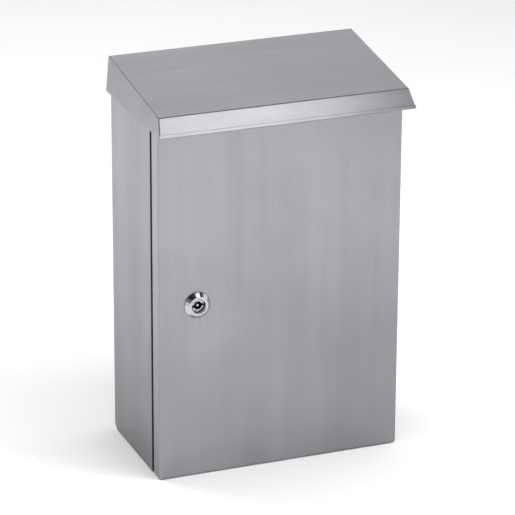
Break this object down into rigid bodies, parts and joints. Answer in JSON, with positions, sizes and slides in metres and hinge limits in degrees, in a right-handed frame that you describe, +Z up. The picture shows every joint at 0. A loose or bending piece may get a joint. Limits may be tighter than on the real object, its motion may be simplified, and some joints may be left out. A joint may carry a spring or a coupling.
{
  "type": "industrial switchboard cabinet",
  "caption": "Wall-mounted brushed stainless switchboard cabinet with a hinged front door, quarter-turn lock, sloping rain roof and rail-mounted switchgear inside.",
  "frame": {"origin": "middle of the flat back that lies on the wall, 200 mm above the floor of the cabinet", "axes": "+X to the viewer's right, +Y into the wall, +Z up; the door faces -Y"},
  "size_m": [0.291, 0.1733, 0.44],
  "materials": {
    "stainless": "vertical brushed grain",
    "hinge_steel": "plain rolled",
    "zinc": "zinc plated, dull",
    "chrome": "polished",
    "seal_foam": "closed-cell foam",
    "rubber": "matt",
    "device_grey": "fine texture",
    "toggle_black": "semi-gloss",
    "button_blue": "semi-gloss",
    "bar_cover": "matt",
    "brass": "drawn",
    "holder_blue": "matt",
    "holder_green": "matt",
    "wire_blue": "extruded sheath",
    "wire_green": "extruded sheath"
  },
  "bodies": {
    "cabinet": {"body_sheet": "stainless", "side_panel_left": "stainless", "side_panel_right": "stainless", "front_frame": "stainless", "roof_hood": "stainless", "roof_carrier_front": "stainless", "roof_carrier_rear": "stainless", "gland_plate": "stainless", "hinge_arm_lower": "hinge_steel", "hinge_arm_upper": "hinge_steel", "mounting_plate": "zinc", "rail_upper": "zinc", "rail_lower": "zinc", "roof_screw_front_left": "zinc", "roof_screw_front_right": "zinc", "roof_screw_rear_left": "zinc", "roof_screw_rear_right": "zinc", "plate_stud_lower_left": "zinc", "plate_stud_lower_right": "zinc", "plate_stud_upper_left": "zinc", "plate_stud_upper_right": "zinc", "plate_nut_lower_left": "zinc", "plate_nut_lower_right": "zinc", "plate_nut_upper_left": "zinc", "plate_nut_upper_right": "zinc", "grommet_left": "rubber", "grommet_right": "rubber", "main_switch": "device_grey", "residual_current_device": "device_grey", "breaker_1": "device_grey", "breaker_2": "device_grey", "breaker_3": "device_grey", "breaker_4": "device_grey", "link_bar": "bar_cover", "comb_bar": "bar_cover", "neutral_bar": "brass", "earth_bar": "brass", "neutral_bar_holder": "holder_blue", "earth_bar_holder": "holder_green", "neutral_wire": "wire_blue", "earth_wire": "wire_green"},
    "door": {"door_pan": "stainless", "door_seal": "seal_foam", "hinge_leaf_lower": "hinge_steel", "hinge_leaf_upper": "hinge_steel", "hinge_pin_lower": "zinc", "hinge_pin_upper": "zinc", "lock_housing": "chrome", "lock_nut": "zinc"},
    "lock": {"lock_insert": "chrome", "lock_cam": "zinc", "cam_screw": "zinc"},
    "main_switch_lever": {"main_switch_toggle": "toggle_black"},
    "residual_current_device_lever": {"residual_current_device_toggle": "toggle_black"},
    "breaker_1_lever": {"breaker_1_toggle": "toggle_black"},
    "breaker_2_lever": {"breaker_2_toggle": "toggle_black"},
    "breaker_3_lever": {"breaker_3_toggle": "toggle_black"},
    "breaker_4_lever": {"breaker_4_toggle": "toggle_black"},
    "test_button": {"residual_current_test_button": "button_blue"}
  },
  "joints": [
    {"name": "door_hinge", "type": "hinge", "parent": "cabinet", "child": "door", "pos_m": [0.1335, -0.14, 0], "axis": [0, 0, 1], "range_deg": [0, 105]},
    {"name": "lock_turn", "type": "hinge", "parent": "door", "child": "lock", "pos_m": [-0.096, -0.14, 0], "axis": [0, 1, 0], "range_deg": [0, 90]},
    {"name": "main_switch_throw", "type": "hinge", "parent": "cabinet", "child": "main_switch_lever", "pos_m": [-0.0546, -0.08, 0.062], "axis": [-1, 0, 0], "range_deg": [0, 72]},
    {"name": "residual_current_device_throw", "type": "hinge", "parent": "cabinet", "child": "residual_current_device_lever", "pos_m": [-0.0106, -0.08, 0.062], "axis": [-1, 0, 0], "range_deg": [0, 72]},
    {"name": "breaker_1_throw", "type": "hinge", "parent": "cabinet", "child": "breaker_1_lever", "pos_m": [0.007, -0.08, 0.062], "axis": [-1, 0, 0], "range_deg": [0, 72]},
    {"name": "breaker_2_throw", "type": "hinge", "parent": "cabinet", "child": "breaker_2_lever", "pos_m": [0.0246, -0.08, 0.062], "axis": [-1, 0, 0], "range_deg": [0, 72]},
    {"name": "breaker_3_throw", "type": "hinge", "parent": "cabinet", "child": "breaker_3_lever", "pos_m": [0.0422, -0.08, 0.062], "axis": [-1, 0, 0], "range_deg": [0, 72]},
    {"name": "breaker_4_throw", "type": "hinge", "parent": "cabinet", "child": "breaker_4_lever", "pos_m": [0.0598, -0.08, 0.062], "axis": [-1, 0, 0], "range_deg": [0, 72]},
    {"name": "test_button_press", "type": "slide", "parent": "cabinet", "child": "test_button", "axis": [0, 1, 0], "range_m": [0, 0.0016], "stiffness_N_per_m": 400}
  ]
}
